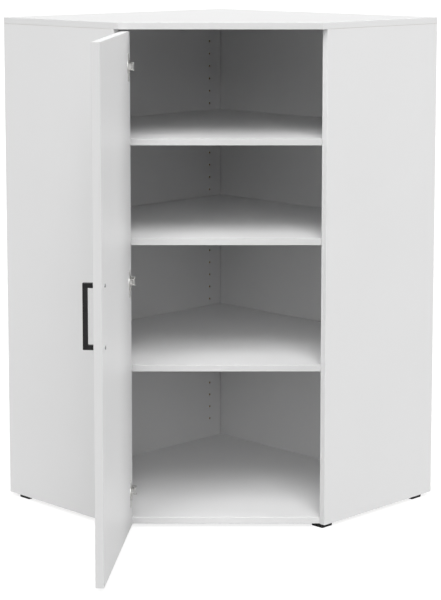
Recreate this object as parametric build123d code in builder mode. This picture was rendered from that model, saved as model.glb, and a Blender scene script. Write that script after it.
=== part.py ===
from build123d import *
import os
from math import cos, radians, sin, sqrt

# Corner cabinet with one door, in millimetres. The origin is the room's corner at floor level,
# where the planes of the two back walls meet. +Z is up and the diagonal front faces -Y.
# The door is modelled open; it closes by turning anticlockwise, seen from above.

os.makedirs("parts", exist_ok=True)

# Carcass
wall_length = 714.0  # along each wall of the room, from its corner
side_depth = 397.0  # of the top board, out from each wall
body_height = 1137.0  # from the underside of the bottom board to the top
board = 15.0  # thickness of every carcass board
edging = 1.0  # thickness of the glued edge bands
edge_round = 0.7  # radius on the bands' outer edges
top_overhang = 16.0  # of the top past the side panels' front edges, along the sides
bottom_setback = 24.0  # of the bottom board's front edge behind the top's
shelf_setback = 27.0  # of the shelves' front edges behind the top's
shelf_play = 1.0  # around a loose shelf
corner_gap = 1.0  # between the end of the left back wall and the right one

# Pin hole rows for the shelves and the hinge plates
pin_pitch = 32.0
first_pin = 64.0  # above the underside of the bottom board
pin_radius = 2.5
pin_bore_depth = 11.0
front_row = 37.0  # behind a side panel's front edge
rear_row_inset = 32.0  # least distance of a side panel's rear row from the back wall
corner_row = 40.0  # of the left back wall's row from the other wall's face
fit_play = 0.05  # radial clearance of a pin, dowel or screw in its bore
bore_play = 0.5  # past the end of anything in a blind bore
shelf_rises = {"lower": 0.29, "middle": 0.58, "upper": 0.81}  # shares of the rows' height
support_shank = 8.0
support_radius = 4.0
support_length = 9.0

# Feet
foot_height = 9.0
foot_width = 34.0
foot_round = 2.5
foot_chamfer = 1.0
foot_side_inset = 7.0  # of a foot behind the outer face of its panel
foot_front_inset = 1.0  # behind a side panel's front edge
foot_rear_inset = 27.0  # of a rear foot from the wall's plane
foot_screw_radius = 2.0
foot_screw_head = 4.0
foot_screw_head_depth = 3.0
foot_screw_stop = 3.0  # of a foot's screw below the bottom board's upper face

# Cam fittings, dowels and corner screws
cam_radius = 7.45
cam_below_bolt = 4.7  # of the cam past its bolt's axis
cam_sunk = 0.2  # of the cam's face below the board's face
cam_reach = 24.0  # of the cam's axis from the joint
cam_window = 3.6  # radius of the bolt's way into the cam
cam_slot_length = 8.0
cam_slot_width = 1.4
cam_slot_depth = 2.0
bolt_radius = 3.0
bolt_way_radius = 3.5
bolt_thread_radius = 2.5
bolt_thread = 10.0
dowel_radius = 4.0
dowel_length = 29.0
dowel_in_face = 9.5  # of a dowel's length, in the board that it meets face on
dowel_chamfer = 0.6
side_cam_inset = 60.0  # from a side panel's front edge and from the back wall
side_dowel_inset = 92.0
wall_cams = (0.6, 0.87)  # shares of the wall's length, from the room's corner
wall_dowels = (0.17, 0.42, 0.73)
upright_cams = (0.13, 0.5, 0.87)  # shares of the uprights' height
upright_dowels = (0.22, 0.78)
corner_screws_at = (0.09, 0.37, 0.65, 0.93)
corner_screw_radius = 3.2
corner_screw_head = 5.0
corner_screw_head_depth = 4.0
corner_screw_length = 50.0
corner_screw_sunk = 0.3

# Door
door_thickness = 18.0
door_gap = 4.0  # of the door's edges inside the ends of the top's front edge
door_bottom_gap = 2.0  # of its lower edge above the underside of the bottom board
door_top_gap = 4.0  # under the top board
door_setback = 2.0  # of its closed front behind the top's front edge
door_open = 95.0  # degrees from closed, as modelled
pivot_inset = 9.0  # of the hinge axis from the door's hinge edge
pivot_depth = 7.0  # of the hinge axis behind the door's closed front

# Handle
handle_bar = 10.0  # side of its square section
handle_hole_spacing = 128.0
handle_projection = 27.0
handle_inset = 38.0  # of its holes from the door's free edge
handle_round = 0.8
handle_screw_radius = 2.0
handle_screw_head = 4.0
handle_screw_head_height = 2.2
handle_screw_play = 0.25  # radial, in the door
handle_screw_round = 0.8  # of its head
handle_screw_cross = 4.0  # across the recess in its head
handle_screw_slot = 0.9
handle_screw_recess = 1.2
handle_screw_bite = 8.0  # into the handle's leg

# Hinges
cup_radius = 17.5
cup_depth = 11.0
cup_wall = 1.0
cup_inset = 22.5  # of the cup's axis from the door's hinge edge
flange_thickness = 1.2
flange_rim = 1.5  # of the flange past the cup
flange_height = 62.0
flange_width = 14.0
flange_round = 4.0
flange_offset = 6.0  # of the flange's screws from the cup's axis
cup_screw_spacing = 48.0
cup_screw_radius = 1.75
cup_screw_head = 3.5
cup_screw_length = 12.0
plate_thickness = 2.0
plate_width = 12.0
plate_height = 46.0
plate_round = 3.0
ridge_height = 8.0
ridge_width = 14.0
ridge_length = 40.0
plate_screw_head = 4.0
arm_width = 18.0
arm_sheet = 1.0
arm_tip_radius = 3.6
arm_back = 58.0  # of its rear end behind the side panel's front edge
outer_pin_reach = 19.5  # of a link's pin on the arm from the hinge axis
outer_pin_angle = 18.5  # of that pin, in degrees from the closed door's line
inner_pin_reach = 22.0
inner_pin_angle = 36.5
link_pin_radius = 1.25
link_thickness = 2.6
link_eye_radius = 2.3
link_eye_play = 1.5  # round the other link's eye
link_play = 0.05  # radial, on its pin
outer_link_width = 13.6
outer_link_gap = 10.4  # between its two cheeks
inner_link_width = 8.8

# Places that follow from the sizes above
mid = board / 2
bottom_z = foot_height
top_underside = foot_height + body_height - board
upright = body_height - board
side_front = side_depth - top_overhang  # length of a side panel
row_room = side_front - board - front_row - rear_row_inset
row_spacing = row_room // pin_pitch * pin_pitch  # from a side panel's front row to its rear row
pin_count = int((upright - 2 * first_pin) // pin_pitch) + 1
shelf_pins = {place: round(share * (pin_count - 1)) for place, share in shelf_rises.items()}
hinge_pins_below = {"bottom": 0, "middle": (pin_count - 2) // 2, "top": pin_count - 2}
cam_depth = mid + cam_below_bolt
foot_screw_bite = board - foot_screw_stop
front_y = -(wall_length + side_depth) / sqrt(2)
half_front = (wall_length - side_depth) / sqrt(2)
pin_rows_z = bottom_z + first_pin
pin_rows_mid = pin_rows_z + (pin_count - 1) * pin_pitch / 2

# The plan frame: +x runs along the right wall and -y along the left one.
plan = Plane(origin=(0, 0, 0), x_dir=(1, -1, 0), z_dir=(0, 0, 1))
right_along = plan.x_dir
left_back = plan.y_dir
up = Vector(0, 0, 1)


def at(x, y, z):
    """A point of the plan frame, at height z."""
    return plan.from_local_coords(Vector(x, y, z))


def to_left(vector):
    """The mirror image of a point or direction of the right half."""
    return Vector(-vector.X, vector.Y, vector.Z)


def pentagon(back_inset, side_inset, setback):
    """A horizontal board's outline in the plan frame, from the room's corner round to the left."""
    reach = wall_length + side_depth - setback * sqrt(2)
    far = wall_length - side_inset
    return [
        (back_inset, -back_inset),
        (far, -back_inset),
        (far, far - reach),
        (reach - far, -far),
        (back_inset, -far),
    ]


def save(builder, label):
    builder.part.label = label
    export_step(builder.part, f"parts/{label}.step")


# Fittings. Each place is the point where the bolt or dowel crosses the joint, the direction into
# the board that it runs along, and the direction of that board's face that the cam is let into.
right_cams = []
right_dowels = []
for inset, places in ((side_cam_inset, right_cams), (side_dowel_inset, right_dowels)):
    for y in (inset - side_front, -board - inset):
        places.append((at(wall_length - mid, y, top_underside), -up, -right_along))
        places.append((at(wall_length - board, y, bottom_z + mid), -right_along, -up))
for shares, places in ((wall_cams, right_cams), (wall_dowels, right_dowels)):
    for share in shares:
        x = share * wall_length
        places.append((at(x, -mid, top_underside), -up, -left_back))
        places.append((at(x, -board, bottom_z + mid), -left_back, -up))
for shares, places in ((upright_cams, right_cams), (upright_dowels, right_dowels)):
    for share in shares:
        z = bottom_z + share * upright
        places.append((at(wall_length - board, -mid, z), -right_along, left_back))

cam_places = right_cams + [tuple(to_left(v) for v in place) for place in right_cams]
dowel_places = right_dowels + [tuple(to_left(v) for v in place) for place in right_dowels]

bolt_planes = [Plane(origin=point, z_dir=into) for point, into, _ in cam_places]
dowel_planes = [Plane(origin=point, z_dir=into) for point, into, _ in dowel_places]
cam_planes = [
    Plane(origin=point + into * cam_reach + face * (mid - cam_sunk), x_dir=into, z_dir=face)
    for point, into, face in cam_places
]
screw_planes = [
    Plane(origin=at(mid, 0, bottom_z + share * upright), z_dir=-left_back)
    for share in corner_screws_at
]
right_feet = [
    (wall_length - foot_side_inset - foot_width / 2, foot_front_inset + foot_width / 2 - side_front),
    (wall_length - foot_side_inset - foot_width / 2, -foot_rear_inset - foot_width / 2),
]
corner_foot = foot_side_inset + foot_width / 2
foot_places = {
    "foot_front_right": at(*right_feet[0], 0),
    "foot_rear_right": at(*right_feet[1], 0),
    "foot_front_left": to_left(at(*right_feet[0], 0)),
    "foot_rear_left": to_left(at(*right_feet[1], 0)),
    "foot_corner": at(corner_foot, -corner_foot, 0),
}
foot_planes = [Plane(origin=place, x_dir=right_along, z_dir=up) for place in foot_places.values()]
hang_down = (Align.CENTER, Align.CENTER, Align.MAX)
stand_up = (Align.CENTER, Align.CENTER, Align.MIN)

# Every bore for a fitting, cut from each board that it meets
with BuildPart() as fitting_bores:
    with Locations(*bolt_planes):
        Cylinder(bolt_way_radius, cam_reach, align=stand_up)
        Cylinder(bolt_thread_radius + fit_play, bolt_thread + bore_play, align=hang_down)
    with Locations(*cam_planes):
        with Locations((0, 0, cam_sunk)):
            Cylinder(cam_radius + fit_play, cam_depth + bore_play, align=hang_down)
    with Locations(*dowel_planes):
        with Locations((0, 0, -dowel_in_face - bore_play)):
            Cylinder(dowel_radius + fit_play, dowel_length + 2 * bore_play, align=stand_up)
    with Locations(*screw_planes):
        Cylinder(
            corner_screw_radius + fit_play,
            corner_screw_sunk + corner_screw_length + bore_play,
            align=stand_up,
        )
        Cone(
            corner_screw_head + corner_screw_sunk + fit_play,
            corner_screw_radius + fit_play,
            corner_screw_head_depth + corner_screw_sunk,
            align=stand_up,
        )
    with Locations(*foot_planes):
        with Locations((0, 0, foot_height)):
            Cylinder(foot_screw_radius + fit_play, foot_screw_bite + bore_play, align=stand_up)

# The faces that carry pin holes, each seen from inside the cabinet with its rows' middle at 0, 0
row_middle = front_row + row_spacing / 2 - side_front
right_rows = Plane(
    origin=at(wall_length - board, row_middle, pin_rows_mid), x_dir=-left_back, z_dir=-right_along
)
left_rows = Plane(origin=to_left(right_rows.origin), x_dir=-right_along, z_dir=left_back)
corner_rows = Plane(
    origin=at(board, -board - corner_row, pin_rows_mid), x_dir=left_back, z_dir=right_along
)

# Top board
with BuildPart() as top_panel:
    with BuildSketch(plan.offset(top_underside)):
        Polygon(*pentagon(0, edging, edging), align=None)
    extrude(amount=board)
    add(fitting_bores.part, mode=Mode.SUBTRACT)
save(top_panel, "top_panel")

with BuildPart() as top_edge_band:
    with BuildSketch(plan.offset(top_underside)):
        Polygon(*pentagon(0, 0, 0), align=None)
        Polygon(*pentagon(0, edging, edging), align=None, mode=Mode.SUBTRACT)
    extrude(amount=board)
    front_edges = top_edge_band.edges().filter_by(Axis.X).group_by(Axis.Y)[0]
    toward_right = Axis((0, 0, 0), (1, -1, 0))
    toward_left = Axis((0, 0, 0), (-1, -1, 0))
    right_edges = top_edge_band.edges().filter_by(toward_left).group_by(toward_right)[-1]
    left_edges = top_edge_band.edges().filter_by(toward_right).group_by(toward_left)[-1]
    fillet(front_edges + right_edges + left_edges, edge_round)
save(top_edge_band, "top_edge_band")

# Bottom board, between the walls and the sides
with BuildPart() as bottom_panel:
    with BuildSketch(plan.offset(bottom_z)):
        Polygon(*pentagon(board, board, bottom_setback + edging), align=None)
    extrude(amount=board)
    add(fitting_bores.part, mode=Mode.SUBTRACT)
save(bottom_panel, "bottom_panel")

with BuildPart() as bottom_edge_band:
    with BuildSketch(plan.offset(bottom_z)):
        Polygon(*pentagon(board, board, bottom_setback), align=None)
        Polygon(*pentagon(board, board, bottom_setback + edging), align=None, mode=Mode.SUBTRACT)
    extrude(amount=board)
    fillet(bottom_edge_band.edges().filter_by(Axis.X).group_by(Axis.Y)[0], edge_round)
save(bottom_edge_band, "bottom_edge_band")

# Side panels, from the back wall's plane to behind the top's front corner
with BuildPart() as side_panel_right:
    with BuildSketch(plan.offset(bottom_z)):
        with Locations((wall_length, 0)):
            Rectangle(board, side_front - edging, align=(Align.MAX, Align.MAX))
    extrude(amount=upright)
    add(fitting_bores.part, mode=Mode.SUBTRACT)
    with Locations(right_rows):
        with GridLocations(row_spacing, pin_pitch, 2, pin_count):
            Hole(pin_radius + fit_play, pin_bore_depth)
save(side_panel_right, "side_panel_right")

with BuildPart() as side_edge_band_right:
    with BuildSketch(plan.offset(bottom_z)):
        with Locations((wall_length, -side_front)):
            Rectangle(board, edging, align=(Align.MAX, Align.MIN))
    extrude(amount=upright)
    fillet(side_edge_band_right.edges().filter_by(Axis.Z).group_by(toward_left)[-1], edge_round)
save(side_edge_band_right, "side_edge_band_right")

with BuildPart() as side_panel_left:
    mirror(side_panel_right.part, about=Plane.YZ)
save(side_panel_left, "side_panel_left")

with BuildPart() as side_edge_band_left:
    mirror(side_edge_band_right.part, about=Plane.YZ)
save(side_edge_band_left, "side_edge_band_left")

# Back walls: the right one runs into the room's corner and the left one ends against it
with BuildPart() as back_panel_right:
    with BuildSketch(plan.offset(bottom_z)):
        Rectangle(wall_length - board, board, align=(Align.MIN, Align.MAX))
    extrude(amount=upright)
    add(fitting_bores.part, mode=Mode.SUBTRACT)
save(back_panel_right, "back_panel_right")

with BuildPart() as back_panel_left:
    with BuildSketch(plan.offset(bottom_z)):
        with Locations((0, board - wall_length)):
            Rectangle(board, wall_length - 2 * board - corner_gap, align=(Align.MIN, Align.MIN))
    extrude(amount=upright)
    add(fitting_bores.part, mode=Mode.SUBTRACT)
    with Locations(corner_rows):
        with GridLocations(1, pin_pitch, 1, pin_count):
            Hole(pin_radius + fit_play, pin_bore_depth)
save(back_panel_left, "back_panel_left")

# Shelves, loose on their supports
shelf_inset = board + shelf_play
for place, pin in shelf_pins.items():
    underside = pin_rows_z + pin * pin_pitch
    with BuildPart() as shelf:
        with BuildSketch(plan.offset(underside)):
            Polygon(*pentagon(shelf_inset, shelf_inset, shelf_setback + edging), align=None)
        extrude(amount=board)
    save(shelf, f"shelf_{place}")

    with BuildPart() as shelf_band:
        with BuildSketch(plan.offset(underside)):
            Polygon(*pentagon(shelf_inset, shelf_inset, shelf_setback), align=None)
            Polygon(
                *pentagon(shelf_inset, shelf_inset, shelf_setback + edging),
                align=None,
                mode=Mode.SUBTRACT,
            )
        extrude(amount=board)
        fillet(shelf_band.edges().filter_by(Axis.X).group_by(Axis.Y)[0], edge_round)
    save(shelf_band, f"shelf_edge_band_{place}")

# Shelf supports: a round shank in the hole and a flat-topped nose under the shelf
with BuildPart() as support:
    Cylinder(pin_radius, support_shank, align=hang_down)
    with BuildSketch(Plane.XY):
        Circle(support_radius)
        Rectangle(
            2 * support_radius,
            support_radius,
            align=(Align.CENTER, Align.MIN),
            mode=Mode.SUBTRACT,
        )
    extrude(amount=support_length)

with BuildPart() as shelf_supports:
    for pin in shelf_pins.values():
        rise = (pin - (pin_count - 1) / 2) * pin_pitch
        for rows, columns in (
            (right_rows, (-row_spacing / 2, row_spacing / 2)),
            (left_rows, (-row_spacing / 2, row_spacing / 2)),
            (corner_rows, (0,)),
        ):
            with Locations(rows):
                with Locations(*[(column, rise) for column in columns]):
                    add(support.part)
save(shelf_supports, "shelf_supports")

# Cam locks, their bolts, dowels and the corner joint's screws
with BuildPart() as cam:
    Cylinder(cam_radius, cam_depth - cam_sunk, align=hang_down)
    with Locations(Plane(origin=(-cam_radius, 0, cam_sunk - mid), z_dir=(1, 0, 0))):
        Cylinder(cam_window, cam_radius + cam_window, align=stand_up, mode=Mode.SUBTRACT)
    Box(cam_slot_length, cam_slot_width, 2 * cam_slot_depth, mode=Mode.SUBTRACT)
    Box(cam_slot_width, cam_slot_length, 2 * cam_slot_depth, mode=Mode.SUBTRACT)

with BuildPart() as cam_locks:
    with Locations(*cam_planes):
        add(cam.part)
save(cam_locks, "cam_locks")

with BuildPart() as cam_bolts:
    with Locations(*bolt_planes):
        Cylinder(bolt_radius, cam_reach, align=stand_up)
        Cylinder(bolt_thread_radius, bolt_thread, align=hang_down)
save(cam_bolts, "cam_bolts")

with BuildPart() as dowel:
    with Locations((0, 0, -dowel_in_face)):
        Cylinder(dowel_radius, dowel_length, align=stand_up)
    chamfer(dowel.edges().filter_by(GeomType.CIRCLE), dowel_chamfer)

with BuildPart() as dowels:
    with Locations(*dowel_planes):
        add(dowel.part)
save(dowels, "dowels")

with BuildPart() as corner_screws:
    with Locations(*screw_planes):
        with Locations((0, 0, corner_screw_sunk)):
            Cylinder(corner_screw_radius, corner_screw_length, align=stand_up)
            Cone(
                corner_screw_head,
                corner_screw_radius,
                corner_screw_head_depth,
                align=stand_up,
            )
save(corner_screws, "corner_screws")

# Feet and their screws
with BuildPart() as foot:
    with BuildSketch(Plane.XY):
        RectangleRounded(foot_width, foot_width, foot_round)
    extrude(amount=foot_height)
    chamfer(foot.faces().sort_by(Axis.Z)[0].edges(), foot_chamfer)
    Cylinder(foot_screw_radius + fit_play, foot_height, align=stand_up, mode=Mode.SUBTRACT)
    Cylinder(
        foot_screw_head + bore_play,
        2 * foot_screw_head_depth,
        align=stand_up,
        mode=Mode.SUBTRACT,
    )

for name, foot_plane in zip(foot_places, foot_planes):
    with BuildPart() as placed_foot:
        with Locations(foot_plane):
            add(foot.part)
    save(placed_foot, name)

with BuildPart() as foot_screws:
    with Locations(*foot_planes):
        with Locations((0, 0, foot_screw_head_depth)):
            Cylinder(foot_screw_head, foot_screw_head_depth, align=stand_up)
            Cylinder(
                foot_screw_radius,
                foot_height - foot_screw_head_depth + foot_screw_bite,
                align=stand_up,
            )
save(foot_screws, "foot_screws")

# Door. Its plane is its inner face when open: x runs to the free edge, y up and z outwards.
door_width = 2 * (half_front - door_gap)
door_bottom = bottom_z + door_bottom_gap
door_height = top_underside - door_top_gap - door_bottom
closed_inner_y = front_y + door_setback + door_thickness
pivot = Vector(pivot_inset - door_width / 2, front_y + door_setback + pivot_depth, 0)
closed_corner = Vector(-door_width / 2, closed_inner_y, door_bottom)
door_plane = Plane(
    origin=pivot + (closed_corner - pivot).rotate(Axis.Z, -door_open),
    x_dir=Vector(1, 0, 0).rotate(Axis.Z, -door_open),
    z_dir=Vector(0, -1, 0).rotate(Axis.Z, -door_open),
)
hinge_rises = {
    place: first_pin + (pin + 0.5) * pin_pitch - door_bottom_gap
    for place, pin in hinge_pins_below.items()
}
cup_centres = [(cup_inset, rise) for rise in hinge_rises.values()]
cup_screw_points = [
    (cup_inset + flange_offset, rise + side * cup_screw_spacing / 2)
    for rise in hinge_rises.values()
    for side in (-1, 1)
]
handle_holes = [
    (door_width - handle_inset, door_height / 2 + side * handle_hole_spacing / 2)
    for side in (-1, 1)
]

with BuildPart() as door_panel:
    with BuildSketch(door_plane):
        with Locations((edging, edging)):
            Rectangle(
                door_width - 2 * edging, door_height - 2 * edging, align=(Align.MIN, Align.MIN)
            )
    extrude(amount=door_thickness)
    with Locations(door_plane):
        with Locations(*cup_centres):
            Cylinder(
                cup_radius + fit_play,
                cup_depth + bore_play,
                align=stand_up,
                mode=Mode.SUBTRACT,
            )
        with Locations(*cup_screw_points):
            Cylinder(
                cup_screw_radius + fit_play,
                cup_screw_length,
                align=stand_up,
                mode=Mode.SUBTRACT,
            )
        with Locations(*handle_holes):
            Cylinder(
                handle_screw_radius + handle_screw_play,
                door_thickness,
                align=stand_up,
                mode=Mode.SUBTRACT,
            )
save(door_panel, "door_panel")

door_bands = {
    "hinge_side": ((0, 0), edging, door_height, Axis.Z, door_plane.x_dir * -1),
    "handle_side": ((door_width - edging, 0), edging, door_height, Axis.Z, door_plane.x_dir),
    "bottom": ((edging, 0), door_width - 2 * edging, edging, None, -up),
    "top": ((edging, door_height - edging), door_width - 2 * edging, edging, None, up),
}
for place, (corner, width, height, run, outward) in door_bands.items():
    with BuildPart() as door_band:
        with BuildSketch(door_plane):
            with Locations(corner):
                Rectangle(width, height, align=(Align.MIN, Align.MIN))
        extrude(amount=door_thickness)
        run = run or Axis((0, 0, 0), door_plane.x_dir)
        long_edges = door_band.edges().filter_by(run)
        fillet(long_edges.group_by(Axis((0, 0, 0), outward))[-1], edge_round)
    save(door_band, f"door_edge_band_{place}")

# Handle and its screws, put in from the door's inner face
handle_x, handle_mid = door_width - handle_inset, door_height / 2
handle_plane = Plane(
    origin=door_plane.from_local_coords(Vector(handle_x, handle_mid, door_thickness)),
    x_dir=door_plane.z_dir,
    z_dir=-door_plane.x_dir,
)
handle_length = handle_hole_spacing + handle_bar
with BuildPart() as handle:
    with BuildSketch(handle_plane):
        Rectangle(handle_projection, handle_length, align=(Align.MIN, Align.CENTER))
        Rectangle(
            handle_projection - handle_bar,
            handle_length - 2 * handle_bar,
            align=(Align.MIN, Align.CENTER),
            mode=Mode.SUBTRACT,
        )
    extrude(amount=handle_bar / 2, both=True)
    on_door = handle.faces().sort_by(Axis((0, 0, 0), door_plane.z_dir))[:2].edges()
    fillet([edge for edge in handle.edges() if edge not in on_door], handle_round)
    with Locations(door_plane):
        with Locations(*[(x, y, door_thickness) for x, y in handle_holes]):
            Cylinder(
                handle_screw_radius + fit_play,
                handle_screw_bite + bore_play,
                align=stand_up,
                mode=Mode.SUBTRACT,
            )
save(handle, "handle")

with BuildPart() as handle_screw:
    Cylinder(handle_screw_radius, door_thickness + handle_screw_bite, align=stand_up)
    Cylinder(handle_screw_head, handle_screw_head_height, align=hang_down)
    head_rim = handle_screw.edges().filter_by(GeomType.CIRCLE).sort_by(Axis.Z)[0]
    fillet(head_rim, handle_screw_round)
    with BuildSketch(Plane.XY.offset(-handle_screw_head_height)):
        Rectangle(handle_screw_cross, handle_screw_slot)
        Rectangle(handle_screw_slot, handle_screw_cross)
    extrude(amount=handle_screw_recess, mode=Mode.SUBTRACT)

with BuildPart() as handle_screws:
    with Locations(door_plane):
        with Locations(*handle_holes):
            add(handle_screw.part)
save(handle_screws, "handle_screws")

# Hinges. Their frame stands on the front inner edge of the left side panel: x runs forwards along
# the panel and y off its inner face.
hinge_frame = Plane(
    origin=to_left(at(wall_length - board, -side_front, 0)), x_dir=(1, -1, 0), z_dir=(0, 0, 1)
)


def from_pivot(reach, angle):
    """A point at that distance and direction from the door's axis, the room's own x as 0."""
    return pivot + Vector(reach * cos(radians(angle)), reach * sin(radians(angle)), 0)


def in_hinge_frame(point):
    local = hinge_frame.to_local_coords(Vector(point.X, point.Y, 0))
    return (local.X, local.Y)


def from_corner(right, forward):
    """A point that far to the right of the open door's inner edge and in front of it."""
    return Vector(door_plane.origin.X + right, door_plane.origin.Y - forward, 0)


# The links' lines and the arm's outline, seen from above
outer_pin = from_pivot(outer_pin_reach, outer_pin_angle)
inner_pin = from_pivot(inner_pin_reach, inner_pin_angle)
tip_low = in_hinge_frame(outer_pin)
tip_high = in_hinge_frame(inner_pin)
web_edge = from_corner(5.0, 9.0)
outer_link_path = [outer_pin, from_corner(5.0, 9.6), from_corner(-3.0, 13.2)]
inner_link_path = [
    inner_pin,
    from_corner(3.1, 1.0),
    from_corner(3.1, 8.0),
    from_corner(-3.0, 10.4),
]
arm_below = [
    (-arm_back, 3.0),
    (-14.0, 3.0),
    (4.0, 13.0),
    (14.0, 17.2),
    (tip_low[0] - 2.0, tip_low[1] - 2.9),
    (tip_high[0] + 1.0, tip_high[1] + 3.4),
]
arm_above = [
    (tip_high[0] - 5.0, tip_high[1] + 3.4),
    (6.0, 23.0),
    (-16.0, 13.0),
    (-arm_back, 12.0),
]
arm_slot = [
    (-arm_back, -arm_back),
    (arm_back, -arm_back),
    (arm_back, arm_back),
    (arm_above[0][0], arm_back),
    *[(x, y - arm_sheet) for x, y in arm_above],
]

with BuildPart() as mounting_plate:
    with BuildSketch(Plane.XY):
        RectangleRounded(plate_width, plate_height, plate_round)
        Rectangle(ridge_length, ridge_width)
    extrude(amount=plate_thickness)
    with BuildSketch(Plane.XY.offset(plate_thickness)):
        Rectangle(ridge_length, ridge_width)
    extrude(amount=ridge_height - plate_thickness)
    with Locations(
        (0, pin_pitch / 2, plate_thickness),
        (0, -pin_pitch / 2, plate_thickness),
    ):
        CounterSinkHole(pin_radius + fit_play, plate_screw_head + fit_play)

with BuildPart() as plate_screw:
    Cylinder(pin_radius, pin_bore_depth - bore_play, align=hang_down)
    Cone(pin_radius, plate_screw_head, plate_screw_head - pin_radius, align=stand_up)

with BuildPart() as cup:
    Cylinder(cup_radius, cup_depth, align=stand_up)
    with BuildSketch(Plane.XY):
        Circle(cup_radius + flange_rim)
        with Locations((flange_offset, 0)):
            RectangleRounded(flange_width, flange_height, flange_round)
    extrude(amount=-flange_thickness)
    with Locations((0, 0, -flange_thickness)):
        Cylinder(
            cup_radius - cup_wall,
            cup_depth - cup_wall + flange_thickness,
            align=stand_up,
            mode=Mode.SUBTRACT,
        )
    for side in (-1, 1):
        with Locations((flange_offset, side * cup_screw_spacing / 2, 0)):
            Cone(
                cup_screw_head + fit_play,
                cup_screw_radius + fit_play,
                flange_thickness,
                align=hang_down,
                mode=Mode.SUBTRACT,
            )

with BuildPart() as cup_screw:
    Cylinder(cup_screw_radius, cup_screw_length, align=stand_up)
    Cone(cup_screw_head, cup_screw_radius, flange_thickness, align=stand_up)

plate_screw_locations = []
link_pin_centres = []
for place, rise in hinge_rises.items():
    height = door_bottom + rise
    plate_plane = Plane(
        origin=hinge_frame.from_local_coords(Vector(-front_row, 0, height)),
        x_dir=-hinge_frame.x_dir,
        z_dir=hinge_frame.y_dir,
    )
    with BuildPart() as hinge_plate:
        with Locations(plate_plane):
            add(mounting_plate.part)
    save(hinge_plate, f"hinge_plate_{place}")
    for side in (-1, 1):
        head_bottom = plate_thickness - (plate_screw_head - pin_radius)
        plate_screw_locations.append(
            plate_plane.location * Location((0, side * pin_pitch / 2, head_bottom))
        )

    # A channel over the plate's ridge, cranked out to the two link pins at its tip
    with BuildPart() as hinge_arm:
        with BuildSketch(hinge_frame.offset(height - arm_width / 2)):
            Polygon(*arm_below, *arm_above, align=None)
            with BuildLine():
                tip_line = Line(tip_low, tip_high)
            trace(tip_line, 2 * arm_tip_radius)
            with Locations(tip_low, tip_high):
                Circle(arm_tip_radius)
        extrude(amount=arm_width)
        with BuildSketch(hinge_frame.offset(height - arm_width / 2 + arm_sheet)):
            Polygon(*arm_slot, align=None)
        extrude(amount=arm_width - 2 * arm_sheet, mode=Mode.SUBTRACT)
        with BuildSketch(hinge_frame.offset(height - arm_width / 2)):
            with Locations(tip_low, tip_high):
                Circle(link_pin_radius + link_play)
        extrude(amount=arm_width, mode=Mode.SUBTRACT)
    save(hinge_arm, f"hinge_arm_{place}")
    link_pin_centres += [(pin.X, pin.Y, height) for pin in (outer_pin, inner_pin)]

    # Links: the outer one is two cheeks joined by a web, the inner one runs between them
    with BuildPart() as outer_link:
        with BuildSketch(Plane.XY.offset(height - outer_link_width / 2)):
            with BuildLine():
                outer_line = Polyline(*outer_link_path)
            trace(outer_line, link_thickness)
            with Locations(*outer_link_path[1:]):
                Circle(link_thickness / 2)
            with Locations(outer_pin):
                Circle(link_eye_radius)
                Circle(link_pin_radius + link_play, mode=Mode.SUBTRACT)
        extrude(amount=outer_link_width)
        with BuildSketch(Plane.XY.offset(height - outer_link_gap / 2)):
            with Locations(web_edge):
                Rectangle(arm_back, arm_back, align=(Align.MAX, Align.CENTER))
            with Locations(outer_pin):
                Circle(link_eye_radius + link_eye_play)
        extrude(amount=outer_link_gap, mode=Mode.SUBTRACT)
    save(outer_link, f"hinge_outer_link_{place}")

    with BuildPart() as inner_link:
        with BuildSketch(Plane.XY.offset(height - inner_link_width / 2)):
            with BuildLine():
                inner_line = Polyline(*inner_link_path)
            trace(inner_line, link_thickness)
            with Locations(*inner_link_path[1:]):
                Circle(link_thickness / 2)
            with Locations(inner_pin):
                Circle(link_eye_radius)
                Circle(link_pin_radius + link_play, mode=Mode.SUBTRACT)
        extrude(amount=inner_link_width)
    save(inner_link, f"hinge_inner_link_{place}")

    with BuildPart() as hinge_cup:
        with Locations(door_plane):
            with Locations((cup_inset, rise)):
                add(cup.part)
    save(hinge_cup, f"hinge_cup_{place}")

with BuildPart() as link_pins:
    with Locations(*link_pin_centres):
        Cylinder(link_pin_radius, arm_width)
save(link_pins, "hinge_link_pins")

with BuildPart() as plate_screws:
    with Locations(*plate_screw_locations):
        add(plate_screw.part)
save(plate_screws, "hinge_plate_screws")

with BuildPart() as cup_screws:
    with Locations(door_plane):
        with Locations(*[(x, y, -flange_thickness) for x, y in cup_screw_points]):
            add(cup_screw.part)
save(cup_screws, "hinge_cup_screws")
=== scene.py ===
import bpy
from math import cos, radians, sin, sqrt
from mathutils import Matrix, Vector


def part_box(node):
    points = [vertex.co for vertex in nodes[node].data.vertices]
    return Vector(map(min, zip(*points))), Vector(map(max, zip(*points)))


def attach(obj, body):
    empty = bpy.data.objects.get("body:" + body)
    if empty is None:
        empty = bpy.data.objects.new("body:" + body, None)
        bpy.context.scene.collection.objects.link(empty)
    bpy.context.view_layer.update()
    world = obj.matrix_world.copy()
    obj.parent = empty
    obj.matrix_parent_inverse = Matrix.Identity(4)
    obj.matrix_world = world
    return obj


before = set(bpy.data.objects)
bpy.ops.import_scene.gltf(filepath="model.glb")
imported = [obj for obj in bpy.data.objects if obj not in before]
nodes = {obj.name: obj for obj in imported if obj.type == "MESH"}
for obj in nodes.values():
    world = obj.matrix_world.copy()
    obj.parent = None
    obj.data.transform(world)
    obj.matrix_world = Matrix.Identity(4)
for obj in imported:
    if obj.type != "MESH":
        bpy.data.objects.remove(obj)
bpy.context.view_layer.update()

# ---------------------------------------------------------------------------
# Boards: the top, bottom, walls, sides, shelves and door are chipboard with a
# white melamine face pressed on both sides with a fine pearl, doweled and
# cammed together. Where a board is sawn or bored the bare chips show.
# ---------------------------------------------------------------------------


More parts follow.
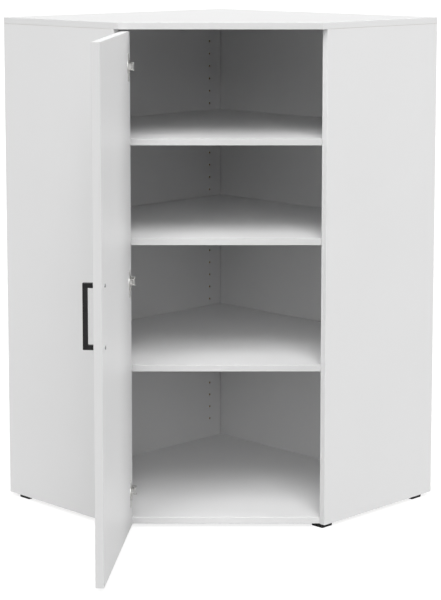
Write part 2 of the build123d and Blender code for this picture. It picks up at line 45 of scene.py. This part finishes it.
def new_group(name, inputs, outputs):
    """An empty shader node group with the named sockets, and its input and output nodes."""
    group = bpy.data.node_groups.new(name, "ShaderNodeTree")
    for socket, kind, value in inputs:
        made = group.interface.new_socket(name=socket, in_out="INPUT", socket_type=kind)
        made.default_value = value
    for socket, kind in outputs:
        group.interface.new_socket(name=socket, in_out="OUTPUT", socket_type=kind)
    return group, group.nodes.new("NodeGroupInput"), group.nodes.new("NodeGroupOutput")


def add_node(tree, kind, values=None, **settings):
    """A node with its settings, and values for its unlinked sockets by name."""
    made = tree.nodes.new(kind)
    for name, value in settings.items():
        setattr(made, name, value)
    for name, value in (values or {}).items():
        made.inputs[name].default_value = value
    return made


def mix_colour(tree, factor, first, second):
    """A colour mix of two sockets or colours, by the socket or number given as the factor."""
    made = tree.nodes.new("ShaderNodeMix")
    made.data_type = "RGBA"
    for index, source in ((0, factor), (6, first), (7, second)):
        if isinstance(source, bpy.types.NodeSocket):
            tree.links.new(source, made.inputs[index])
        else:
            made.inputs[index].default_value = source
    return made.outputs[2]


def to_range(tree, source, low, high, from_low=0.0, from_high=1.0):
    """The source value carried from one range to another, and held inside it."""
    made = tree.nodes.new("ShaderNodeMapRange")
    tree.links.new(source, made.inputs["Value"])
    made.inputs["From Min"].default_value = from_low
    made.inputs["From Max"].default_value = from_high
    made.inputs["To Min"].default_value = low
    made.inputs["To Max"].default_value = high
    return made.outputs["Result"]


# Fine surface grain: a slow drift in tone, a fine stipple and the height of both
grain_group, grain_in, grain_out = new_group(
    "Fine grain",
    [
        ("Colour", "NodeSocketColor", (0.8, 0.8, 0.8, 1)),
        ("Drift", "NodeSocketFloat", 0.03),
        ("Stipple size", "NodeSocketFloat", 900.0),
        ("Roughness", "NodeSocketFloat", 0.4),
        ("Roughness drift", "NodeSocketFloat", 0.06),
    ],
    [
        ("Colour", "NodeSocketColor"),
        ("Roughness", "NodeSocketFloat"),
        ("Height", "NodeSocketFloat"),
    ],
)
place = add_node(grain_group, "ShaderNodeTexCoord")
drift = add_node(grain_group, "ShaderNodeTexNoise", {"Scale": 5.0, "Detail": 4.0})
stipple = add_node(grain_group, "ShaderNodeTexNoise", {"Detail": 2.0, "Roughness": 0.6})
link = grain_group.links.new
link(place.outputs["Object"], drift.inputs["Vector"])
link(place.outputs["Object"], stipple.inputs["Vector"])
link(grain_in.outputs["Stipple size"], stipple.inputs["Scale"])
darker = add_node(grain_group, "ShaderNodeMath", {0: 1.0}, operation="SUBTRACT")
link(grain_in.outputs["Drift"], darker.inputs[1])
shade = add_node(grain_group, "ShaderNodeMapRange")
link(drift.outputs["Fac"], shade.inputs["Value"])
shade.inputs["From Min"].default_value = 0.3
shade.inputs["From Max"].default_value = 0.7
link(darker.outputs[0], shade.inputs["To Min"])
toned = add_node(grain_group, "ShaderNodeVectorMath", operation="SCALE")
link(grain_in.outputs["Colour"], toned.inputs[0])
link(shade.outputs["Result"], toned.inputs["Scale"])
link(toned.outputs["Vector"], grain_out.inputs["Colour"])
uneven = add_node(grain_group, "ShaderNodeMath", {1: 0.5}, operation="SUBTRACT")
link(stipple.outputs["Fac"], uneven.inputs[0])
spread = add_node(grain_group, "ShaderNodeMath", operation="MULTIPLY_ADD")
link(uneven.outputs[0], spread.inputs[0])
link(grain_in.outputs["Roughness drift"], spread.inputs[1])
link(grain_in.outputs["Roughness"], spread.inputs[2])
link(spread.outputs[0], grain_out.inputs["Roughness"])
link(stipple.outputs["Fac"], grain_out.inputs["Height"])

# Bare chipboard: pressed chips in several tones, some of them dark bark
chips_group, chips_in, chips_out = new_group(
    "Chipboard",
    [("Chip size", "NodeSocketFloat", 400.0)],
    [("Colour", "NodeSocketColor"), ("Height", "NodeSocketFloat")],
)
place = add_node(chips_group, "ShaderNodeTexCoord")
warp = add_node(chips_group, "ShaderNodeTexNoise", {"Scale": 260.0, "Detail": 2.0})
chips = add_node(chips_group, "ShaderNodeTexVoronoi")
bent = add_node(chips_group, "ShaderNodeVectorMath", {"Scale": 0.004}, operation="SCALE")
moved = add_node(chips_group, "ShaderNodeVectorMath", operation="ADD")
link = chips_group.links.new
link(place.outputs["Object"], warp.inputs["Vector"])
link(warp.outputs["Color"], bent.inputs[0])
link(place.outputs["Object"], moved.inputs[0])
link(bent.outputs["Vector"], moved.inputs[1])
link(moved.outputs["Vector"], chips.inputs["Vector"])
link(chips_in.outputs["Chip size"], chips.inputs["Scale"])
tones = add_node(chips_group, "ShaderNodeValToRGB")
tones.color_ramp.elements[0].color = (0.16, 0.09, 0.045, 1)
tones.color_ramp.elements[1].color = (0.62, 0.45, 0.27, 1)
middle_tone = tones.color_ramp.elements.new(0.35)
middle_tone.color = (0.42, 0.28, 0.15, 1)
grey_of_chip = add_node(chips_group, "ShaderNodeSeparateColor")
link(chips.outputs["Color"], grey_of_chip.inputs["Color"])
link(grey_of_chip.outputs["Red"], tones.inputs["Fac"])
link(tones.outputs["Color"], chips_out.inputs["Colour"])
link(grey_of_chip.outputs["Green"], chips_out.inputs["Height"])

# Sawn faces: 1 where the surface doesn't face along the board's thickness
sawn_group, sawn_in, sawn_out = new_group(
    "Sawn faces",
    [("Thickness", "NodeSocketVector", (0, 0, 1))],
    [("Mask", "NodeSocketFloat")],
)
facing = add_node(sawn_group, "ShaderNodeTexCoord")
along = add_node(sawn_group, "ShaderNodeVectorMath", operation="DOT_PRODUCT")
size_of = add_node(sawn_group, "ShaderNodeMath", operation="ABSOLUTE")
link = sawn_group.links.new
link(facing.outputs["Normal"], along.inputs[0])
link(sawn_in.outputs["Thickness"], along.inputs[1])
link(along.outputs["Value"], size_of.inputs[0])
link(to_range(sawn_group, size_of.outputs[0], 1.0, 0.0, 0.60, 0.62), sawn_out.inputs["Mask"])

# Painted light and shade: every board has the same white melamine, but each is given its own white so that
# its brightness stands in for the light it gets. The top is darkest, then the sides, and the walls, door
# and shelves are lighter.
wall_painted_light_white = (0.81, 0.81, 0.812, 1)
shelf_painted_light_white = (0.89, 0.89, 0.892, 1)
top_painted_shade_white = (0.61, 0.61, 0.611, 1)
side_painted_light_white = (0.74, 0.74, 0.741, 1)
door_painted_light_white = (0.86, 0.86, 0.861, 1)
melamine_pearl = 0.00004
melamine_gloss = 0.35
top_gloss = 0.08
chip_size = 420.0
bare_chip_roughness = 0.85


def new_material(name):
    """A material with its node tree and Principled shader."""
    made = bpy.data.materials.new(name)
    made.use_nodes = True
    return made, made.node_tree, made.node_tree.nodes["Principled BSDF"]


def set_group(tree, group, values):
    """A group placed in a material, with its own values."""
    made = tree.nodes.new("ShaderNodeGroup")
    made.node_tree = group
    for name, value in values.items():
        made.inputs[name].default_value = value
    return made


def add_bump(tree, shader, height, distance, strength=1.0):
    """A Bump node from the height given into the shader's Normal."""
    bump = add_node(tree, "ShaderNodeBump", {"Strength": strength, "Distance": distance})
    tree.links.new(height, bump.inputs["Height"])
    tree.links.new(bump.outputs["Normal"], shader.inputs["Normal"])


def melamine_board(name, thickness, white, gloss=melamine_gloss):
    """Melamine on the two faces that look along the thickness, chipboard on the rest."""
    made, tree, shader = new_material(name)
    face = set_group(tree, grain_group, {
        "Colour": white,
        "Drift": 0.012,
        "Stipple size": 1400.0,
        "Roughness": 0.42,
        "Roughness drift": 0.12,
    })
    core = set_group(tree, chips_group, {"Chip size": chip_size})
    sawn = set_group(tree, sawn_group, {"Thickness": thickness})
    colour = mix_colour(tree, sawn.outputs["Mask"], face.outputs["Colour"], core.outputs["Colour"])
    tree.links.new(colour, shader.inputs["Base Color"])
    dull = add_node(tree, "ShaderNodeMix", {"B": bare_chip_roughness})
    tree.links.new(sawn.outputs["Mask"], dull.inputs["Factor"])
    tree.links.new(face.outputs["Roughness"], dull.inputs["A"])
    tree.links.new(dull.outputs["Result"], shader.inputs["Roughness"])
    add_bump(tree, shader, face.outputs["Height"], melamine_pearl)
    shader.inputs["Specular IOR Level"].default_value = gloss
    return made


def paint(material, *names):
    """The material in every slot of the named nodes."""
    for name in names:
        for slot in nodes[name].material_slots:
            slot.material = material


diagonal = 1 / sqrt(2)
door_turn = radians(-95)
across_left = (diagonal, diagonal, 0)
across_right = (diagonal, -diagonal, 0)
upwards = (0, 0, 1)
# Each board takes its own white from above: painted light and shade, not a different melamine.
top_board = melamine_board("Melamine top", upwards, top_painted_shade_white, gloss=top_gloss)
level_boards = melamine_board("Melamine shelves and bottom", upwards, shelf_painted_light_white)
right_wall = melamine_board("Melamine right wall", across_left, wall_painted_light_white)
left_wall = melamine_board("Melamine left wall", across_right, wall_painted_light_white)
left_side = melamine_board("Melamine left side", across_left, side_painted_light_white)
right_side = melamine_board("Melamine right side", across_right, side_painted_light_white)
door_board = melamine_board("Melamine door", (sin(door_turn), -cos(door_turn), 0), door_painted_light_white)
paint(top_board, "top_panel")
paint(level_boards, "bottom_panel", "shelf_lower", "shelf_middle", "shelf_upper")
paint(right_wall, "back_panel_right")
paint(left_wall, "back_panel_left")
paint(left_side, "side_panel_left")
paint(right_side, "side_panel_right")
paint(door_board, "door_panel")

# ---------------------------------------------------------------------------
# Edge bands: white plastic strip glued along every edge that shows, trimmed flush and rounded over. The
# strip on the front edges of the sides and of the bottom board is the same plastic, painted a shade whiter
# as painted light, so these edges read brighter than the light on them makes them.
# ---------------------------------------------------------------------------
band_white = (0.71, 0.71, 0.711, 1)
# Painted light: a lighter copy of the same strip, for the front edges of the sides and bottom that sit in
# shade.
frame_band_painted_light = (0.82, 0.82, 0.821, 1)
band_stipple = 0.00003


def edge_band(name, white):
    """White plastic strip with a fine stipple."""
    made, tree, shader = new_material(name)
    band = set_group(tree, grain_group, {
        "Colour": white,
        "Drift": 0.015,
        "Stipple size": 700.0,
        "Roughness": 0.38,
        "Roughness drift": 0.10,
    })
    tree.links.new(band.outputs["Colour"], shader.inputs["Base Color"])
    tree.links.new(band.outputs["Roughness"], shader.inputs["Roughness"])
    add_bump(tree, shader, band.outputs["Height"], band_stipple)
    return made


paint(edge_band("White edge band", band_white), *[name for name in nodes if "edge_band" in name])
frame_bands = ("bottom_edge_band", "side_edge_band_left", "side_edge_band_right")
# The front edges of the sides and bottom take the lighter copy of the strip, which is painted light.
paint(edge_band("Edge band of sides and bottom, painted lighter", frame_band_painted_light), *frame_bands)

# ---------------------------------------------------------------------------
# Handle: a square steel bar bent into a bow and powder coated matt black, held
# by two screws through the door.
# ---------------------------------------------------------------------------
wear_group, wear_in, wear_out = new_group(
    "Rubbed edges",
    [
        ("Colour", "NodeSocketColor", (0.02, 0.02, 0.02, 1)),
        ("Rubbed colour", "NodeSocketColor", (0.08, 0.08, 0.08, 1)),
        ("Amount", "NodeSocketFloat", 0.6),
    ],
    [("Colour", "NodeSocketColor")],
)
edges = add_node(wear_group, "ShaderNodeNewGeometry")
patches = add_node(wear_group, "ShaderNodeTexNoise", {"Scale": 120.0, "Detail": 3.0})
place = add_node(wear_group, "ShaderNodeTexCoord")
link = wear_group.links.new
link(place.outputs["Object"], patches.inputs["Vector"])
sharp = to_range(wear_group, edges.outputs["Pointiness"], 0.0, 1.0, 0.52, 0.60)
broken = to_range(wear_group, patches.outputs["Fac"], 0.2, 1.0, 0.35, 0.65)
both = add_node(wear_group, "ShaderNodeMath", operation="MULTIPLY")
link(sharp, both.inputs[0])
link(broken, both.inputs[1])
amount = add_node(wear_group, "ShaderNodeMath", operation="MULTIPLY")
link(both.outputs[0], amount.inputs[0])
link(wear_in.outputs["Amount"], amount.inputs[1])
link(
    mix_colour(wear_group, amount.outputs[0], wear_in.outputs["Colour"], wear_in.outputs["Rubbed colour"]),
    wear_out.inputs["Colour"],
)


rubbed_black = (0.03, 0.03, 0.03, 1)
black_gloss = 0.3


def coated(name, colour, amount, stipple, height, roughness):
    """A dark coated or moulded finish with a fine stipple and slightly rubbed edges."""
    made, tree, shader = new_material(name)
    surface = set_group(tree, grain_group, {
        "Colour": colour,
        "Drift": 0.15,
        "Stipple size": stipple,
        "Roughness": roughness,
        "Roughness drift": 0.15,
    })
    worn = set_group(tree, wear_group, {"Rubbed colour": rubbed_black, "Amount": amount})
    tree.links.new(surface.outputs["Colour"], worn.inputs["Colour"])
    tree.links.new(worn.outputs["Colour"], shader.inputs["Base Color"])
    tree.links.new(surface.outputs["Roughness"], shader.inputs["Roughness"])
    shader.inputs["Specular IOR Level"].default_value = black_gloss
    add_bump(tree, shader, surface.outputs["Height"], height)
    return made


black_coat = coated(
    "Black powder coat", (0.007, 0.007, 0.0075, 1),
    amount=0.5, stipple=2200.0, height=0.00006, roughness=0.46,
)
paint(black_coat, "handle")

# ---------------------------------------------------------------------------
# Feet: square glides moulded in black plastic, one under each corner of the
# bottom board and screwed up into it.
# ---------------------------------------------------------------------------
foot_plastic = coated(
    "Black plastic", (0.004, 0.004, 0.004, 1),
    amount=0.4, stipple=1500.0, height=0.00008, roughness=0.6,
)
feet = ("foot_front_right", "foot_rear_right", "foot_front_left", "foot_rear_left", "foot_corner")
paint(foot_plastic, *feet)

# ---------------------------------------------------------------------------
# Hinges and hardware: the hinges' cups, arms, links and plates are pressed
# steel and nickel plated, like the shelf supports. Screws, bolts and pins are
# zinc plated, the cams are die-cast and the handle's screws are left dull.
# ---------------------------------------------------------------------------


def plated(name, colour, roughness, stipple, height, drift):
    """A plated metal with a faint drift in tone and fine drawing marks."""
    made, tree, shader = new_material(name)
    surface = set_group(tree, grain_group, {
        "Colour": colour,
        "Drift": drift,
        "Stipple size": stipple,
        "Roughness": roughness,
        "Roughness drift": 0.18,
    })
    tree.links.new(surface.outputs["Colour"], shader.inputs["Base Color"])
    tree.links.new(surface.outputs["Roughness"], shader.inputs["Roughness"])
    shader.inputs["Metallic"].default_value = 1.0
    add_bump(tree, shader, surface.outputs["Height"], height)
    return made


nickel = plated(
    "Nickel plate", (0.72, 0.715, 0.70, 1),
    roughness=0.52, stipple=1800.0, height=0.00002, drift=0.05,
)
zinc = plated(
    "Zinc plate", (0.62, 0.62, 0.62, 1),
    roughness=0.40, stipple=1500.0, height=0.00003, drift=0.10,
)
cast = plated(
    "Die-cast zinc", (0.42, 0.42, 0.42, 1),
    roughness=0.5, stipple=900.0, height=0.00008, drift=0.15,
)
hinge_nodes = [name for name in nodes if name.startswith("hinge_")]
screw_nodes = [name for name in nodes if name.endswith(("screws", "bolts", "pins"))]
paint(nickel, *[name for name in hinge_nodes if name not in screw_nodes])
paint(zinc, *screw_nodes)
paint(nickel, "shelf_supports")
paint(cast, "cam_locks", "handle_screws")

# ---------------------------------------------------------------------------
# Hinge adjusters: two cross-headed screws on each arm, the front one to set
# the door sideways and the rear one to clamp the arm on its plate. Turned and
# zinc plated, with a chamfered head and a cross driven into it.
# ---------------------------------------------------------------------------
along_panel = Vector((diagonal, -diagonal, 0))
off_panel = Vector((diagonal, diagonal, 0))
# Each one's place, forward of the plate's middle and out from it
adjuster_places = {"front": (0.013, 0.0087), "rear": (-0.011, 0.0081)}
adjuster_radius = 0.0034
adjuster_height = 0.0018
adjuster_chamfer = 0.0003
cross_length = 0.0042
cross_width = 0.0009


def add_box(name, size, centre):
    """A box of that size, its object at the origin."""
    bpy.ops.object.select_all(action="DESELECT")
    bpy.ops.mesh.primitive_cube_add(size=1, location=centre)
    made = bpy.context.object
    made.name = name
    made.scale = size
    bpy.ops.object.transform_apply(location=True, rotation=True, scale=True)
    return made


def cut(piece, cutter):
    """The cutter taken out of the piece, and then removed."""
    modifier = piece.modifiers.new("cut", "BOOLEAN")
    modifier.object = cutter
    modifier.operation = "DIFFERENCE"
    bpy.ops.object.select_all(action="DESELECT")
    bpy.context.view_layer.objects.active = piece
    piece.select_set(True)
    bpy.ops.object.modifier_apply(modifier="cut")
    bpy.data.objects.remove(cutter, do_unlink=True)


bpy.ops.object.select_all(action="DESELECT")
bpy.ops.mesh.primitive_cylinder_add(vertices=40, radius=adjuster_radius, depth=adjuster_height)
adjuster = bpy.context.object
adjuster.name = "hinge_adjuster_pattern"
bevel = adjuster.modifiers.new("chamfer", "BEVEL")
bevel.width = adjuster_chamfer
bevel.segments = 3
bevel.limit_method = "ANGLE"
bpy.ops.object.modifier_apply(modifier="chamfer")
cut(adjuster, add_box("slot", (cross_length, cross_width, adjuster_height), (0, 0, adjuster_height / 2)))
cut(adjuster, add_box("slot", (cross_width, cross_length, adjuster_height), (0, 0, adjuster_height / 2)))

for place_name in ("bottom", "middle", "top"):
    low, high = (Vector(corner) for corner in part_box("hinge_plate_" + place_name))
    plate_middle = (low + high) / 2
    for label, (forward, height) in adjuster_places.items():
        screw = adjuster.copy()
        screw.data = adjuster.data.copy()
        screw.name = "hinge_adjuster_" + label + "_" + place_name
        bpy.context.scene.collection.objects.link(screw)
        turned = off_panel.to_track_quat("Z", "Y").to_matrix().to_4x4()
        spot = plate_middle + along_panel * forward + off_panel * height
        screw.data.transform(Matrix.Translation(spot) @ turned)
        screw.data.materials.append(zinc)
        bpy.ops.object.select_all(action="DESELECT")
        bpy.context.view_layer.objects.active = screw
        screw.select_set(True)
        bpy.ops.object.shade_smooth_by_angle(angle=radians(35))
        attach(screw, "carcass")
bpy.data.objects.remove(adjuster, do_unlink=True)

# ---------------------------------------------------------------------------
# Dowels: turned beech pins, glued into the boards where they butt together.
# ---------------------------------------------------------------------------
beech, tree, shader = new_material("Beech dowel")
place = add_node(tree, "ShaderNodeTexCoord")
grain = add_node(tree, "ShaderNodeTexNoise", {"Scale": 240.0, "Detail": 4.0})
tree.links.new(place.outputs["Object"], grain.inputs["Vector"])
tree.links.new(
    mix_colour(tree, grain.outputs["Fac"], (0.52, 0.34, 0.18, 1), (0.74, 0.56, 0.36, 1)),
    shader.inputs["Base Color"],
)
shader.inputs["Roughness"].default_value = 0.6
add_bump(tree, shader, grain.outputs["Fac"], 0.0001)
paint(beech, "dowels")

# ---------------------------------------------------------------------------
# Studio: a plain pale floor, broad soft lights from above, in front, both
# sides and behind, and the camera standing square to the front.
# ---------------------------------------------------------------------------
floor_half = 45.0
floor_glow = 0.82
sky_strength = 0.14
sky_in_gloss = 0.9
bpy.ops.object.select_all(action="DESELECT")
bpy.ops.mesh.primitive_plane_add(size=2 * floor_half, location=(0, 0, 0))
floor = bpy.context.object
floor.name = "floor"
floor_material, tree, shader = new_material("Pale floor")
place = add_node(tree, "ShaderNodeTexCoord")
clouds = add_node(tree, "ShaderNodeTexNoise", {"Scale": 1.5, "Detail": 3.0})
tree.links.new(place.outputs["Object"], clouds.inputs["Vector"])
tree.links.new(
    mix_colour(tree, clouds.outputs["Fac"], (0.25, 0.25, 0.25, 1), (0.27, 0.27, 0.27, 1)),
    shader.inputs["Base Color"],
)
shader.inputs["Roughness"].default_value = 0.9
shader.inputs["Specular IOR Level"].default_value = 0.0
shader.inputs["Emission Color"].default_value = (1, 1, 1, 1)
looked_at = tree.nodes.new("ShaderNodeLightPath")
tree.links.new(
    to_range(tree, looked_at.outputs["Is Camera Ray"], 0.0, floor_glow),
    shader.inputs["Emission Strength"],
)
floor.data.materials.append(floor_material)

world = bpy.context.scene.world or bpy.data.worlds.new("Studio")
bpy.context.scene.world = world
world.use_nodes = True
tree = world.node_tree
background = tree.nodes["Background"]
seen = tree.nodes.new("ShaderNodeLightPath")
background.inputs["Color"].default_value = (1, 1, 1, 1)
mirrored = to_range(tree, seen.outputs["Is Glossy Ray"], sky_strength, sky_in_gloss)
level = add_node(tree, "ShaderNodeMix", {"B": 1.0})
tree.links.new(seen.outputs["Is Camera Ray"], level.inputs["Factor"])
tree.links.new(mirrored, level.inputs["A"])
tree.links.new(level.outputs["Result"], background.inputs["Strength"])


def add_sun(name, strength, soft, elevation, azimuth):
    """A broad distant light; azimuth 0 comes from the front and 90 from the right."""
    data = bpy.data.lights.new(name, "SUN")
    data.energy = strength
    data.angle = radians(soft)
    lamp = bpy.data.objects.new(name, data)
    bpy.context.scene.collection.objects.link(lamp)
    e, a = radians(elevation), radians(azimuth)
    toward = Vector((sin(a) * cos(e), -cos(a) * cos(e), sin(e)))
    lamp.rotation_euler = toward.to_track_quat("Z", "Y").to_euler()


add_sun("high front light", 1.95, 36, 55, 0)
add_sun("front light", 1.02, 44, 31, 0)
add_sun("right light", 1.62, 44, 22, 92)
add_sun("left light", 1.14, 44, 26, -76)
add_sun("rear light", 0.78, 44, 60, 180)

lens = 116.1
camera_distance = 5.025
camera_height = 1.340
camera_pitch = 7.27
camera_data = bpy.data.cameras.new("camera")
camera = bpy.data.objects.new("camera", camera_data)
bpy.context.scene.collection.objects.link(camera)
camera_data.sensor_width = 36.0
camera_data.lens = lens
camera_data.shift_y = -0.2
camera_data.clip_end = 200.0
camera.location = (0.0, -camera_distance, camera_height)
camera.rotation_euler = (radians(90 - camera_pitch), 0, 0)
bpy.context.scene.camera = camera
bpy.context.scene.view_settings.view_transform = "Standard"
